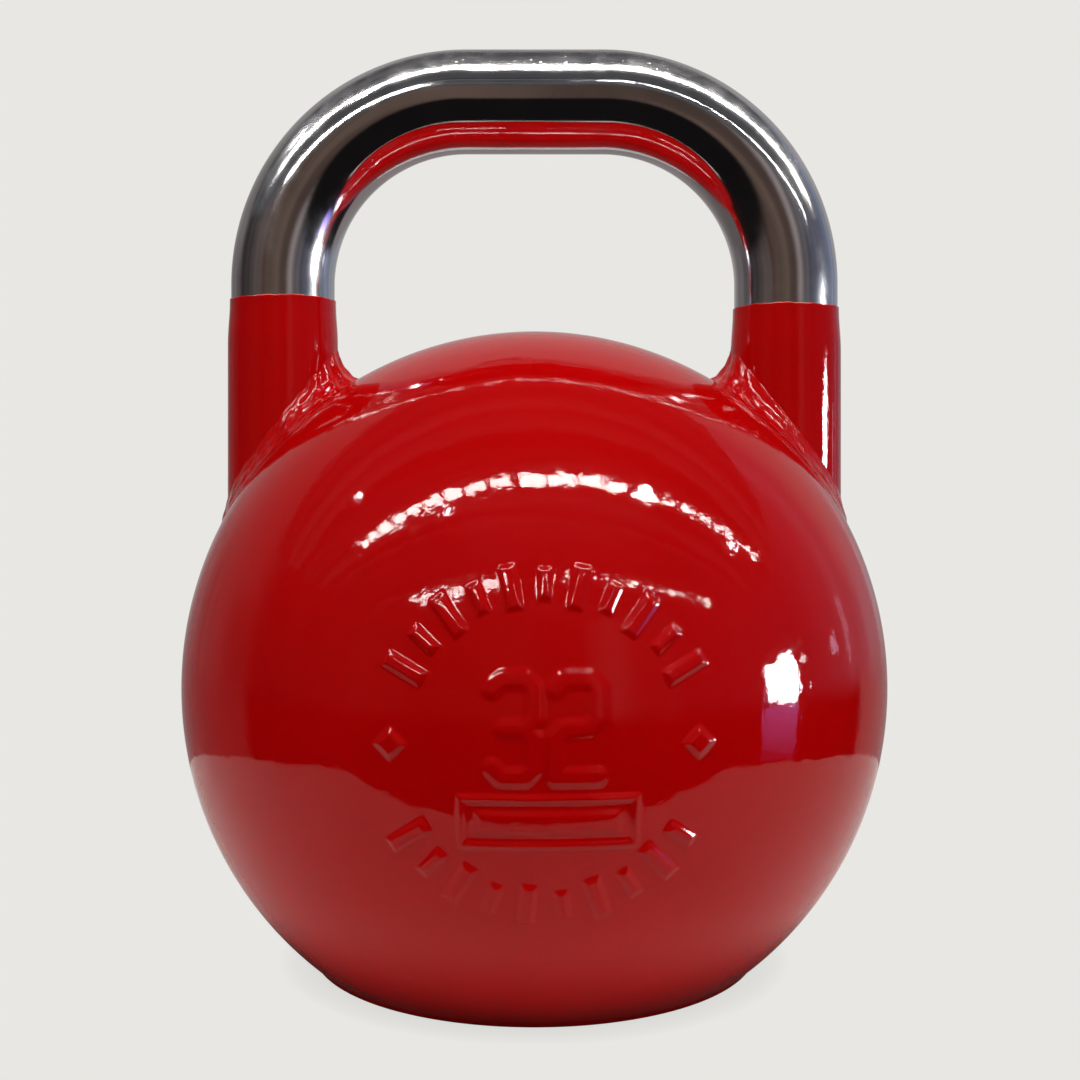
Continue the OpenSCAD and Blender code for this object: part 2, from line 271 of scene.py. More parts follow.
def dull_brass():
    s = Surface("dull_brass", Metallic=1.0)
    patina = s.noise(3, 5, 0.6)
    s.colour(s.blend(s.ramp(patina, 0.35, 0.7), (0.62, 0.42, 0.16, 1), (0.36, 0.23, 0.09, 1)))
    s.rough(s.ramp(patina, 0.2, 0.8, 0.25, 0.5))
    s.bump((s.noise(0.5, 3), 0.01))
    return s.material


def set_grout():
    s = Surface("set_grout")
    grain = s.noise(1.1, 6, 0.7)
    s.colour(s.blend(s.ramp(grain, 0.3, 0.7), (0.30, 0.25, 0.18, 1), (0.46, 0.40, 0.30, 1)))
    s.rough(s.ramp(grain, 0.2, 0.8, 0.8, 0.95))
    s.bump((grain, 0.3))
    return s.material


RED = gloss_red("red_enamel")
WELD_RED = gloss_red("red_enamel_on_weld", 0.02, 0.03)
FOOT_RED = gloss_red("red_enamel_on_foot", worn_foot=True)
CHROME = polished_chrome()
PLATE = turned_steel("turned_plate_steel", (0.36, 0.36, 0.37))
SCREW = turned_steel("dark_screw_steel", (0.20, 0.20, 0.21), 0.3)
IRON = cast_iron()
RUBBER = moulded_rubber()
BRASS = dull_brass()
GROUT = set_grout()


# ---- mesh helpers ----


def add_object(name, mesh):
    made = bpy.data.objects.new(name, mesh)
    bpy.context.scene.collection.objects.link(made)
    return made


def solid_mesh(name, points, faces, cut_z=None):
    """A closed mesh with outward normals. What lies below the height cut_z is cut off and closed flat."""
    mesh = bpy.data.meshes.new(name)
    mesh.from_pydata([tuple(p) for p in points], [], faces)
    bm = bmesh.new()
    bm.from_mesh(mesh)
    bmesh.ops.remove_doubles(bm, verts=bm.verts, dist=1e-7)
    if cut_z is not None:
        everything = bm.verts[:] + bm.edges[:] + bm.faces[:]
        cut = bmesh.ops.bisect_plane(
            bm, geom=everything, dist=1e-7, plane_co=(0, 0, cut_z), plane_no=(0, 0, -1), clear_outer=True
        )
        edges = [e for e in cut["geom_cut"] if isinstance(e, bmesh.types.BMEdge)]
        bmesh.ops.edgenet_fill(bm, edges=edges)
    bmesh.ops.recalc_face_normals(bm, faces=bm.faces)
    bm.to_mesh(mesh)
    bm.free()
    return mesh


def add_piece(name, mesh, material, slot, *nodes):
    """Puts a finished mesh in the scene as the piece that stands for CAD nodes."""
    mesh.shade_smooth()
    mesh.set_sharp_from_angle(angle=math.radians(50))
    mesh.materials.append(material)
    made = add_object(name, mesh)
    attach(made, "root")
    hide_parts(*nodes)


def ring_grid(rings):
    """Quads that join closed rings of the same number of points, the last ring back to the first."""
    count, around = len(rings), len(rings[0])
    faces = []
    for i in range(count):
        for j in range(around):
            i2 = (i + 1) % count
            j2 = (j + 1) % around
            faces.append((i * around + j, i * around + j2, i2 * around + j2, i2 * around + j))
    return np.concatenate(rings), faces


def revolved(profile, segments):
    """A closed profile of (radius, height), turned round the upright axis."""
    turn = np.arange(segments) * 2 * math.pi / segments
    rings = [np.stack([r * np.cos(turn), r * np.sin(turn), np.full(segments, z)], 1) for r, z in profile]
    return ring_grid(rings)


def arc(centre, radius, start, end, steps):
    """Points (radius, height) on an arc, with angles in degrees."""
    angles = np.radians(np.linspace(start, end, steps + 1))
    return [(centre[0] + radius * math.cos(a), centre[1] + radius * math.sin(a)) for a in angles]


def ball_radius_at(z):
    """Radius of the ball's level section at the height z."""
    return math.sqrt(BALL_R**2 - (z - BALL_Z) ** 2)


def smooth(t):
    """Smooth step from 0 to 1."""
    t = np.clip(t, 0, 1)
    return t * t * (3 - 2 * t)


# ---- raised marks on the front, in millimetres from the ball's centre ----


def box_distance(x, z, at, half, turn=0.0):
    """Signed distance to a rectangle, negative inside."""
    c, s = math.cos(turn), math.sin(turn)
    dx, dz = x - at[0], z - at[1]
    u = np.abs(c * dx + s * dz) - half[0]
    v = np.abs(-s * dx + c * dz) - half[1]
    outside = np.hypot(np.maximum(u, 0), np.maximum(v, 0))
    return outside + np.minimum(np.maximum(u, v), 0)


def stroke_distance(x, z, points, half):
    """Distance to a bent stroke of even width."""
    best = np.full(x.shape, 1e9)
    for (ax, az), (bx, bz) in zip(points, points[1:]):
        ux, uz = bx - ax, bz - az
        t = np.clip(((x - ax) * ux + (z - az) * uz) / (ux * ux + uz * uz), 0, 1)
        best = np.minimum(best, np.hypot(x - ax - t * ux, z - az - t * uz))
    return best - half


def digit_line(digit, at):
    """The centre line of a square-cut 3 or 2, in a cell 12 wide and 25 high that starts at the point at."""
    w, h = 10.0, 23.0
    c = 2.2  # cut corners
    inset = 1.0
    three = [(0, c), (c, 0), (w - c, 0), (w, c), (w, h / 2 - c), (w - c, h / 2), (3, h / 2)]
    three += [(w - c, h / 2), (w, h / 2 + c), (w, h - c), (w - c, h), (c, h), (0, h - c)]
    two = [(w, 0), (0, 0), (0, h / 2 - c), (c, h / 2), (w - c, h / 2), (w, h / 2 + c)]
    two += [(w, h - c), (w - c, h), (c, h), (0, h - c)]
    points = {3: three, 2: two}[digit]
    return [(at[0] + inset + x, at[1] + inset + z) for x, z in points]


def shoulder(distance, edge):
    """1 on a mark and 0 beside it, with a soft step that is edge mm wide each way."""
    return smooth(0.5 - distance / (2 * edge))


def mark_height(x, z):
    """Relief of two arcs of graduations, two diamonds, the numerals and a panel, softened by the paint."""
    x, z = x - MARKS_AT[0], z - MARKS_AT[1]
    ticks = []
    for count, mid, radius in ((11, 90, 38.0), (10, -90, 39.5)):
        for i in range(count):
            turn = math.radians(mid + (i - (count - 1) / 2) * TICK_STEP)
            half = (5.0, 1.7) if i % 2 == 0 else (3.5, 1.3)
            at = (radius * math.cos(turn), radius * math.sin(turn))
            ticks.append(box_distance(x, z, at, half, turn))
    for side in (-1, 1):
        ticks.append(box_distance(x, z, (side * 37.0, 0), (2.5, 2.5), math.pi / 4))
    digits = []
    for digit, left in ((3, -13.5), (2, 1.5)):
        digits.append(stroke_distance(x, z, digit_line(digit, (left, -8.0)), 2.0))
    panel_at = (0.8, -18.0)
    panel = box_distance(x, z, panel_at, (21.5, 6.5))
    rim = np.maximum(panel, -(panel + 1.5))
    bar = box_distance(x, z, panel_at, (17.0, 2.5))
    heights = [
        shoulder(np.minimum.reduce(ticks), 0.9),
        0.65 * shoulder(np.minimum.reduce(digits), 1.2),
        0.75 * shoulder(rim, 0.8),
        0.75 * shoulder(bar, 1.0),
    ]
    return MARK_H * np.maximum.reduce(heights)


# ---- ball ----


def wrapped_square(grid, stops, angles):
    """Tilt from the pole and turn about it, in radians, of a square grid wrapped onto a half sphere.

    The ring of the grid at each stop, a share of the square's half width, gets the tilt in angles.
    """
    steps = np.arange(-grid, grid + 1) / grid
    a, b = np.meshgrid(steps, steps, indexing="ij")
    ring = np.maximum(abs(a), abs(b))
    safe_a = np.where(a == 0, 1, a)
    safe_b = np.where(b == 0, 1, b)
    turn = np.where(
        abs(a) >= abs(b),
        math.pi / 4 * b / safe_a + np.where(a < 0, math.pi, 0),
        math.pi / 2 - math.pi / 4 * a / safe_b + np.where(b < 0, math.pi, 0),
    )
    return np.radians(np.interp(ring, stops, angles)), turn


def half_ball(side, grid, fine_to=None):
    """Half of the hollow ball on one side of the seam: outer face, bevel for the weld, and cavity.

    With fine_to, an angle in degrees from the pole, most of the grid lies inside it and has the marks.
    """
    edge = math.degrees(math.asin(SEAM_HALF / BALL_R))
    stops = [0, 0.75, 0.985, 1] if fine_to else [0, 0.5, 0.97, 1]
    tilt, turn = wrapped_square(grid, stops, [0, fine_to or 46, 88.0 - edge, 90 - edge])
    away = np.stack([np.sin(tilt) * np.cos(turn), side * np.cos(tilt), np.sin(tilt) * np.sin(turn)], -1)
    radius = np.full(tilt.shape, BALL_R)
    if fine_to:
        marked = tilt < math.radians(fine_to)
        spots = away[marked] * BALL_R / MM
        radius[marked] += mark_height(spots[:, 0], spots[:, 2])
    points = (away * radius[..., None]).reshape(-1, 3)
    count = 2 * grid + 1
    index = np.arange(count * count).reshape(count, count)
    quads = np.stack([index[:-1, :-1], index[1:, :-1], index[1:, 1:], index[:-1, 1:]], -1)
    faces = [tuple(q) for q in quads.reshape(-1, 4).tolist()]

    # The bevel and the cavity are coarser: one point for every eight along the outer face's edge
    loop = [*index[:-1, 0], *index[-1, :-1], *index[:0:-1, -1], *index[0, :0:-1]]
    skip = 8
    coarse = len(loop) // skip
    start = math.atan2(points[loop[0]][2], points[loop[0]][0])
    around = start + np.arange(coarse) * 2 * math.pi / coarse
    rows = [(BALL_R - SEAM_DEPTH, SEAM_ROOT), (BALL_R - SEAM_DEPTH, 0), (CAVITY_R, 0)]
    rows += [(CAVITY_R * math.cos(t), CAVITY_R * math.sin(t)) for t in np.radians(range(8, 89, 8))]
    inside = []
    for r, y in rows:
        inside.append(np.stack([r * np.cos(around), np.full(coarse, side * y), r * np.sin(around)], 1))
    first = len(points)
    for i in range(coarse):
        after = (i + 1) % coarse
        fine = [int(loop[(i * skip + k) % len(loop)]) for k in range(skip + 1)]
        faces.append((*fine, first + after, first + i))
        for row in range(len(rows) - 1):
            low = first + row * coarse
            faces.append((low + i, low + after, low + coarse + after, low + coarse + i))
    last = first + (len(rows) - 1) * coarse
    faces.append(tuple(range(last, last + coarse)))
    return np.concatenate([points, *inside]) + np.array([0, 0, BALL_Z]), faces


def seam_weld():
    """The ground-back weld round the ball's seam: a V-shaped band, its face hollowed by the grinder."""
    around = 720
    turn = np.arange(around) * 2 * math.pi / around
    chatter = 0.5 + 0.5 * np.sin(turn * 97 + 2 * np.sin(turn * 13))
    rings = []
    for y in np.linspace(-1, 1, 13):
        hollow = (1 - y**4) * (0.02 + 0.03 * chatter) * MM
        r = np.sqrt(BALL_R**2 - (y * SEAM_HALF) ** 2) - hollow
        rings.append(np.stack([r * np.cos(turn), np.full(around, y * SEAM_HALF), r * np.sin(turn)], 1))
    for y in (SEAM_ROOT, -SEAM_ROOT):
        r = BALL_R - SEAM_DEPTH
        rings.append(np.stack([r * np.cos(turn), np.full(around, y), r * np.sin(turn)], 1))
    points, faces = ring_grid(rings)
    return points + np.array([0, 0, BALL_Z]), faces


def base_weld_profile():
    """The ground-back weld between the ball's wall and the base ring."""
    low, high = RING_WELD
    outer = []
    for i, z in enumerate(np.linspace(low, high, 11)):
        outer.append((ball_radius_at(z) - 0.02 * MM * math.sin(i * math.pi / 10), z))
    return [*outer, (RING_WELD_IN, high), (RING_WELD_IN, low)]


def base_ring_profile():
    """The foot: the ball's own curve down to a rounded rim, then the recess for the closing plate."""
    rim = 1.4 * MM
    heights = np.linspace(RING_WELD[0], rim, 24)
    outer = [(ball_radius_at(z), z) for z in heights]
    lip_r = ball_radius_at(rim) - rim
    outer += arc((lip_r, rim), rim, -12, -90, 8)
    recess, bore, ring_top = 56 * MM, 45 * MM, 20 * MM
    gasket = 1.5 * MM
    ledge = PLATE_HIGH.z + gasket
    round_r = 0.6 * MM
    inner = arc((recess + round_r, round_r), round_r, -90, -180, 4)
    inner += [(recess, ledge), (bore, ledge), (bore, ring_top)]
    inner += [(78 * MM, ring_top), (79 * MM, RING_WELD[0])]
    return outer + inner


ball_foot = RING_WELD[1]
mesh = solid_mesh("front_shell_skin", *half_ball(-1, 140, 28.0), cut_z=ball_foot)
add_piece("front_shell_skin", mesh, RED, "red_paint", "front_shell")
mesh = solid_mesh("rear_shell_skin", *half_ball(1, 96), cut_z=ball_foot)
add_piece("rear_shell_skin", mesh, RED, "red_paint", "rear_shell")
mesh = solid_mesh("seam_weld_band", *seam_weld(), cut_z=ball_foot)
add_piece("seam_weld_band", mesh, RED, "red_paint", "shell_seam_weld")
mesh = solid_mesh("base_ring_turned", *revolved(base_ring_profile(), 360))
add_piece("base_ring_turned", mesh, FOOT_RED, "red_paint", "base_ring")
mesh = solid_mesh("base_ring_weld_band", *revolved(base_weld_profile(), 360))
add_piece("base_ring_weld_band", mesh, RED, "red_paint", "base_ring_weld")


# ---- handle ----


def bar_stations():
    """Centre points, outward directions across the bar in the handle's plane, and radii along the bar."""
    foot = math.sqrt(BALL_R**2 - (HORN_X - SPIGOT_R) ** 2) + BALL_Z
    edge = 0.3 * MM
    legs = {}
    for side in (-1, 1):
        leg = legs[side] = []
        top = HORN_TOPS[side]
        spigot = [(foot, SPIGOT_R - edge), (foot + edge, SPIGOT_R), (top - edge, SPIGOT_R), (top, GRIP_R)]
        for z, r in spigot:
            leg.append(((side * HORN_X, 0, z), (side, 0, 0), r))
        for z in np.linspace(top, BEND_Z, 8)[1:-1]:
            leg.append(((side * HORN_X, 0, z), (side, 0, 0), GRIP_R))
        for angle in np.radians(np.linspace(0, 90, 73)):
            out = (side * math.cos(angle), 0, math.sin(angle))
            leg.append(((side * BEND_X + BEND_R * out[0], 0, BEND_Z + BEND_R * out[2]), out, GRIP_R))
    grip = [((x, 0, BAR_Z), (0, 0, 1), GRIP_R) for x in np.linspace(-BEND_X, BEND_X, 25)[1:-1]]
    return legs[-1] + grip + legs[1][::-1]


def handle_bar():
    """The bent bar as one swept tube, closed at its ends inside the horns."""
    around = 144
    turn = np.arange(around) * 2 * math.pi / around
    rings = []
    for centre, out, radius in bar_stations():
        across = np.outer(np.cos(turn), out) + np.outer(np.sin(turn), (0, 1, 0))
        rings.append(np.array(centre) + radius * across)
    points, faces = ring_grid(rings)
    faces = faces[:-around]
    faces.append(tuple(range(around)))
    last = len(points) - around
    faces.append(tuple(range(last, last + around)))
    return points, faces


def on_ball_z(x, y):
    """Height of the ball's upper face over the point x, y."""
    return BALL_Z + np.sqrt(BALL_R**2 - x**2 - y**2)


def horn(side):
    """A painted sleeve over the bar's end: cut to the ball below, necked to the grip above."""
    around = 192
    turn = np.arange(around) * 2 * math.pi / around
    top = HORN_TOPS[side]
    edge_wave = 0.14 * np.sin(3 * turn + side) + 0.09 * np.sin(11 * turn + 2) + 0.06 * np.sin(29 * turn)
    cos_t, sin_t = np.cos(turn), np.sin(turn)
    bore = SPIGOT_R + 0.05 * MM

    def ring(r, z):
        return np.stack([side * HORN_X + r * cos_t, r * sin_t, z + 0 * turn], 1)

    def foot(r):
        return on_ball_z(side * HORN_X + r * cos_t, r * sin_t)

    low = foot(HORN_R)
    rings = [ring(HORN_R, low + (top - NECK - low) * t) for t in np.linspace(0, 1, 17)]
    for t in np.linspace(0, 1, 15)[1:]:
        r = GRIP_R + PAINT_EDGE + (HORN_R - GRIP_R - PAINT_EDGE) * (1 + math.cos(math.pi * t)) / 2
        rings.append(ring(r, top - NECK + NECK * t))
    lip_z = top + (0.25 + edge_wave) * MM
    for angle in np.radians(range(0, 91, 15)):
        rings.append(ring(GRIP_R + PAINT_EDGE * math.cos(angle), lip_z + PAINT_EDGE * math.sin(angle)))
    rings.append(ring(GRIP_R + 0.005 * MM, top))
    rings.append(ring(bore, top))
    rings.append(ring(bore, foot(SPIGOT_R)))
    rings.append(ring(HORN_HOLLOW_R, foot(HORN_HOLLOW_R)))
    return ring_grid(rings)


# ---- horn welds ----

WELD_W = 6.5 * MM  # reach out along the ball
WELD_H = 6.0 * MM  # reach up the horn
WELD_RISE = 8.0 * MM  # extra reach up the horn on the side of the hand
WELD_FACE_R = BALL_R * 1.0002  # just proud of the ball, so that the two don't flicker


def unit(v):
    return v / np.linalg.norm(v, axis=-1, keepdims=True)


def waves(turn, seed, low, high):
    """A repeatable uneven wave round the horn, from -1 to 1 or so, of between low and high periods."""
    count = 24
    rng = np.random.default_rng(seed)
    total = np.zeros_like(turn)
    for _ in range(count):
        total = total + np.sin(turn * rng.integers(low, high) + rng.uniform(0, 2 * math.pi))
    return total / math.sqrt(count)


def weld_relief(turn, t, seed):
    """Height of the dressed bead over its face, in mm: a serrated upper edge and ground streaks."""
    serration = 0.5 + 0.5 * np.sin(turn * 96 + 2 * waves(turn, seed, 5, 40))
    upper = math.exp(-(((t - 0.17) / 0.035) ** 2)) * (0.16 + 0.34 * serration)
    band = float(smooth((t - 0.12) / 0.1) * smooth((0.985 - t) / 0.06))
    drift = t + 0.035 * waves(turn, seed + 1, 3, 16)
    streaks = 0.09 * np.sin(drift * 27) * (1 + 0.6 * waves(turn, seed + 2, 4, 20))
    lumps = 0.10 * waves(turn - 0.5 * t, seed + 3, 10, 44)
    grit = 0.02 * waves(turn + 0.3 * t, seed + 4, 60, 150)
    return upper + band * (0.36 + streaks + lumps + grit)


def horn_weld(side, seed):
    """The fillet between a horn and the ball, from a point up the horn to a point out along the ball."""
    around, across = 420, 40
    turn = np.arange(around) * 2 * math.pi / around
    radial = np.stack([np.cos(turn), np.sin(turn), 0 * turn], 1)
    x, y = HORN_X + HORN_R * np.cos(turn), HORN_R * np.sin(turn)
    root = np.stack([x, y, np.sqrt(BALL_R**2 - x**2 - y**2)], 1) + 0.02 * MM * radial
    inward = ((1 - np.cos(turn)) / 2) ** 3
    normal = unit(root)
    along = unit(radial - np.sum(radial * normal, 1, keepdims=True) * normal)
    wander = 1 + 0.05 * waves(turn, seed + 5, 4, 26)
    up = root + np.outer((WELD_H + WELD_RISE * inward) * wander, (0, 0, 1))
    reach = ((WELD_W + 2 * MM * inward) * wander)[:, None] * along
    out = WELD_FACE_R * unit(root + reach)
    pull = 0.35
    rings = []
    for t in np.linspace(0, 1, across + 1):
        k_up, k_root, k_out = (1 - t) ** 2, 2 * pull * t * (1 - t), t**2
        face = (k_up * up + k_root * root + k_out * out) / (k_up + k_root + k_out)
        away = unit(face - root)
        rings.append(face + away * (weld_relief(turn, t, seed) * MM)[:, None])
    for k in (0.75, 0.5, 0.25, 0.0):
        rings.append(WELD_FACE_R * unit(root + k * reach))
    points, faces = ring_grid(rings)
    points[:, 0] *= side
    return points + np.array([0, 0, BALL_Z]), faces


mesh = solid_mesh("handle_bar_chromed", *handle_bar())
add_piece("handle_bar_chromed", mesh, CHROME, "chrome", "handle_bar")
for side, label, seed in ((-1, "left", 9), (1, "right", 31)):
    name = f"{label}_horn_sleeve"
    mesh = solid_mesh(name, *horn(side))
    add_piece(name, mesh, RED, "red_paint", f"{label}_horn")
    name = f"{label}_horn_weld_bead"
    mesh = solid_mesh(name, *horn_weld(side, seed))
    add_piece(name, mesh, WELD_RED, "red_paint", f"{label}_horn_weld")


# ---- CAD nodes that stay as they are, with their finishes ----

FINISHES = {
    "closing_plate": PLATE,
    "plate_screws": SCREW,
    "fill_plug": SCREW,
    "trim_charge": PLATE,
    "plate_gasket": RUBBER,
    "core_pad": RUBBER,
    "plug_washer": BRASS,
    "ballast_core": IRON,
    "filler_grout": GROUT,
}
for node, material in FINISHES.items():
    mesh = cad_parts[node].data
    mesh.materials.clear()
    mesh.materials.append(material)


# ---- stage, lights and camera ----

CENTRE = Vector((0, 0, BALL_Z))
CAMERA_BACK = 0.450  # distance from the handle's plane
CAMERA_UP = 0.06405  # height over the ball's centre
PALE = (0.807, 0.799, 0.768)  # floor and backdrop
NO_FRONT = -3.0  # a front limit that clips nothing
CEILING = BALL_Z + 1.5
FILL_AWAY, SPOT_AWAY, WINDOW_AWAY, SILL_AWAY = 1.8, 1.6, 2.4, 1.2  # distances from the ball's centre
WARM_WHITE = (1.0, 0.95, 0.90)
DAYLIGHT = (0.95, 0.97, 1.0)
VIOLET = (0.42, 0.30, 1.0)


def direction(azimuth, elevation):
    """Unit vector. Azimuth 0 points at the camera, 90 to the right."""
    a, e = math.radians(azimuth), math.radians(elevation)
    return Vector((math.sin(a) * math.cos(e), -math.cos(a) * math.cos(e), math.sin(e)))


def circle_outline(radius, front):
    """Points round a circle, clipped so that none is farther forward than y = front."""
    points = 96
    turn = [2 * math.pi * i / points for i in range(points)]
    return [(radius * math.cos(t), max(radius * math.sin(t), front)) for t in turn]


def flat_sheet(name, outer, inner, z, material):
    """A level sheet between two outlines that have the same number of points."""
    count = len(outer)
    faces = [(i, (i + 1) % count, count + (i + 1) % count, count + i) for i in range(count)]
    mesh = bpy.data.meshes.new(name)
    mesh.from_pydata([(x, y, z) for x, y in outer + inner], [], faces)
    mesh.materials.append(material)
    sheet = add_object(name, mesh)
    return sheet


def floor_material():
    """An even pale floor with a painted contact shadow: ambient occlusion dims its glow softly where the
    base stands on it. It is clear from below.
    """
    material = bpy.data.materials.new("pale_floor")
    material.use_nodes = True
    tree = material.node_tree
    tree.nodes.clear()
    near = tree.nodes.new("ShaderNodeAmbientOcclusion")
    near.samples = 16
    near.inputs["Distance"].default_value = 0.008
    shade = tree.nodes.new("ShaderNodeMapRange")
    shade.inputs["To Min"].default_value = 0.85
    glow = tree.nodes.new("ShaderNodeEmission")
    glow.inputs["Color"].default_value = (*PALE, 1)
    clear = tree.nodes.new("ShaderNodeBsdfTransparent")
    side = tree.nodes.new("ShaderNodeNewGeometry")
    mix = tree.nodes.new("ShaderNodeMixShader")
    output = tree.nodes.new("ShaderNodeOutputMaterial")
    # painted contact shadow: the ambient occlusion term sets how brightly the floor glows
    tree.links.new(near.outputs["AO"], shade.inputs["Value"])
    tree.links.new(shade.outputs["Result"], glow.inputs["Strength"])
    tree.links.new(side.outputs["Backfacing"], mix.inputs["Fac"])
    tree.links.new(glow.outputs[0], mix.inputs[1])
    tree.links.new(clear.outputs[0], mix.inputs[2])
    tree.links.new(mix.outputs[0], output.inputs["Surface"])
    return material


def board_material():
    """The pale board that the object's gloss and its shaded underside see, with a painted contact shadow:
    its colour and its faint glow go dark next to the base.
    """
    s = Surface("pale_board", Roughness=0.9, Specular_IOR_Level=0.0, Emission_Strength=0.03)
    distance = s.node("ShaderNodeVectorMath", {0: s.place}, operation="LENGTH").outputs["Value"]
    # painted contact shadow: the board's colour darkens within a few cm of the base
    shaded = s.ramp(distance, BASE_R + 4 * MM, BASE_R + 34 * MM)
    painted_shadow_tone = s.blend(shaded, (0.22, 0.20, 0.19, 1), (0.84, 0.80, 0.76, 1))
    s.colour(painted_shadow_tone)
    # painted light: the board glows faintly in this same colour, painted shadow included
    s.feed(s.shader.inputs["Emission Color"], painted_shadow_tone)
    return s.material


floor_outlines = (circle_outline(3.0, NO_FRONT), circle_outline(0.001, NO_FRONT))
floor = flat_sheet("floor", *floor_outlines, -0.0002, floor_material())
floor.visible_glossy = False
floor.visible_diffuse = False
floor.visible_shadow = False
board_outlines = (circle_outline(0.30, -0.19), circle_outline(BASE_R, NO_FRONT))
board = flat_sheet("board", *board_outlines, -0.0004, board_material())
board.visible_camera = False
board.visible_shadow = False


def soft_box(name, at, aim, size, power, colour=(1, 1, 1), gloss=True):
    """A rectangular lamp: seen in reflections only, or with gloss off, lighting the object only.

    Its power is the luminance of its face.
    """
    data = bpy.data.lights.new(name, "AREA")
    data.shape = "RECTANGLE"
    data.size, data.size_y = size
    data.color = colour
    data.energy = power * math.pi * size[0] * size[1]
    lamp = add_object(name, data)
    lamp.location = at
    lamp.rotation_euler = (Vector(at) - Vector(aim)).to_track_quat("Z", "Y").to_euler()
    lamp.visible_camera = False
    lamp.visible_glossy = gloss
    lamp.visible_diffuse = not gloss
    return lamp


def lamp_row(name, start, end, count, width, power, fill):
    """Ceiling lamps between two points, seen only in reflections. Each fills that share of its stretch."""
    start, end = Vector(start), Vector(end)
    step = (end - start) / count
    heading = math.atan2(step.y, step.x)
    size = (step.length * fill, width)
    for i in range(count):
        middle = start + step * (i + 0.5)
        lamp = soft_box(f"{name}_{i}", middle, middle - Vector((0, 0, 1)), size, power, WARM_WHITE)
        lamp.rotation_euler = (0, 0, heading)


# Rows of ceiling lamps
lamp_row("near_left_lamp", (-1.90, -0.72, CEILING), (-0.15, -0.61, CEILING), 9, 0.125, 38, 0.80)
lamp_row("near_middle_lamp", (-0.12, -0.61, CEILING), (0.72, -0.53, CEILING), 4, 0.13, 42, 0.90)
lamp_row("near_right_lamp", (0.78, -0.53, CEILING), (2.80, -0.20, CEILING), 9, 0.07, 42, 0.68)
for i in range(4):
    shift = 0.085 * i
    left_end = (-1.94 + shift, -2.20 - shift, CEILING)
    right_end = (-0.40, -1.96 - shift, CEILING)
    lamp_row(f"far_left_lamp_{i}", left_end, right_end, 5 + i, 0.045, 60, 0.9)
lamp_row("far_right_lamp", (0.10, -1.95, CEILING), (3.0, -1.78, CEILING), 13, 0.028, 80, 0.6)

# Single lamps: azimuth, elevation and width
SPOTS = ((-42, 54, 0.07), (-86, 46, 0.05), (77, 34, 0.05), (60, 55, 0.09))
for i, (azimuth, elevation, width) in enumerate(SPOTS):
    soft_box(f"spot_{i}", CENTRE + SPOT_AWAY * direction(azimuth, elevation), CENTRE, (width, width), 70)
soft_box("hot_lamp", (0.86, -0.52, CEILING), (0.86, -0.52, 0), (0.10, 0.16), 90, (1.0, 0.97, 0.93))

# The window at the right, in pieces: azimuth, elevation, width, height and luminance
PANES = (
    (80.0, 0.8, 0.50, 0.34, 90),
    (82.0, 4.8, 0.28, 0.12, 60),
    (81.5, -3.0, 0.32, 0.12, 34),
    (83.5, -2.0, 0.14, 0.24, 40),
    (76.5, 3.5, 0.05, 0.10, 12),
    (89.5, 4.0, 0.03, 0.05, 40),
    (92.0, -2.0, 0.03, 0.08, 20),
)
for i, (azimuth, elevation, width, height, power) in enumerate(PANES):
    pane = CENTRE + WINDOW_AWAY * direction(azimuth, elevation)
    soft_box(f"window_pane_{i}", pane, CENTRE, (width, height), power, DAYLIGHT)
side_pane = CENTRE + WINDOW_AWAY * direction(75.5, 0)
soft_box("window_side", side_pane, CENTRE, (0.22, 0.30), 2.0, (0.6, 0.45, 1.0))
for i in range(6):
    sill = CENTRE + SILL_AWAY * direction(77, -5.6 - 2.1 * i)
    soft_box(f"window_sill_{i}", sill, CENTRE, (0.29, 0.045), 3.5 - 0.62 * i, VIOLET)
slit = CENTRE + SILL_AWAY * direction(104, 4)
soft_box("window_slit_0", slit, CENTRE, (0.05, 0.08), 3, (0.8, 0.7, 1.0))
slit = CENTRE + SILL_AWAY * direction(113, 5)
soft_box("window_slit_1", slit, CENTRE, (0.04, 0.22), 0.7, (0.85, 0.8, 1.0))

# Lamps that light the object: azimuth, elevation, size and luminance
FILLS = {
    "key": (8, 60, (1.6, 1.0), 4.4),
    "left_fill": (-80, 18, (1.0, 1.0), 0.9),
    "right_fill": (75, 22, (1.0, 1.0), 1.2),
    "back_fill": (170, 40, (1.6, 1.2), 1.2),
    "rear_fill": (180, 5, (1.2, 0.8), 1.6),
}
for name, (azimuth, elevation, lamp_size, power) in FILLS.items():
    at = CENTRE + FILL_AWAY * direction(azimuth, elevation)
    soft_box(name, at, CENTRE, lamp_size, power, gloss=False)
# What the plate underneath reflects when it is looked at from below
soft_box("under_light", (0, 0.3, -1.2), (0, 0.3, 0), (2.2, 2.2), 1.1)

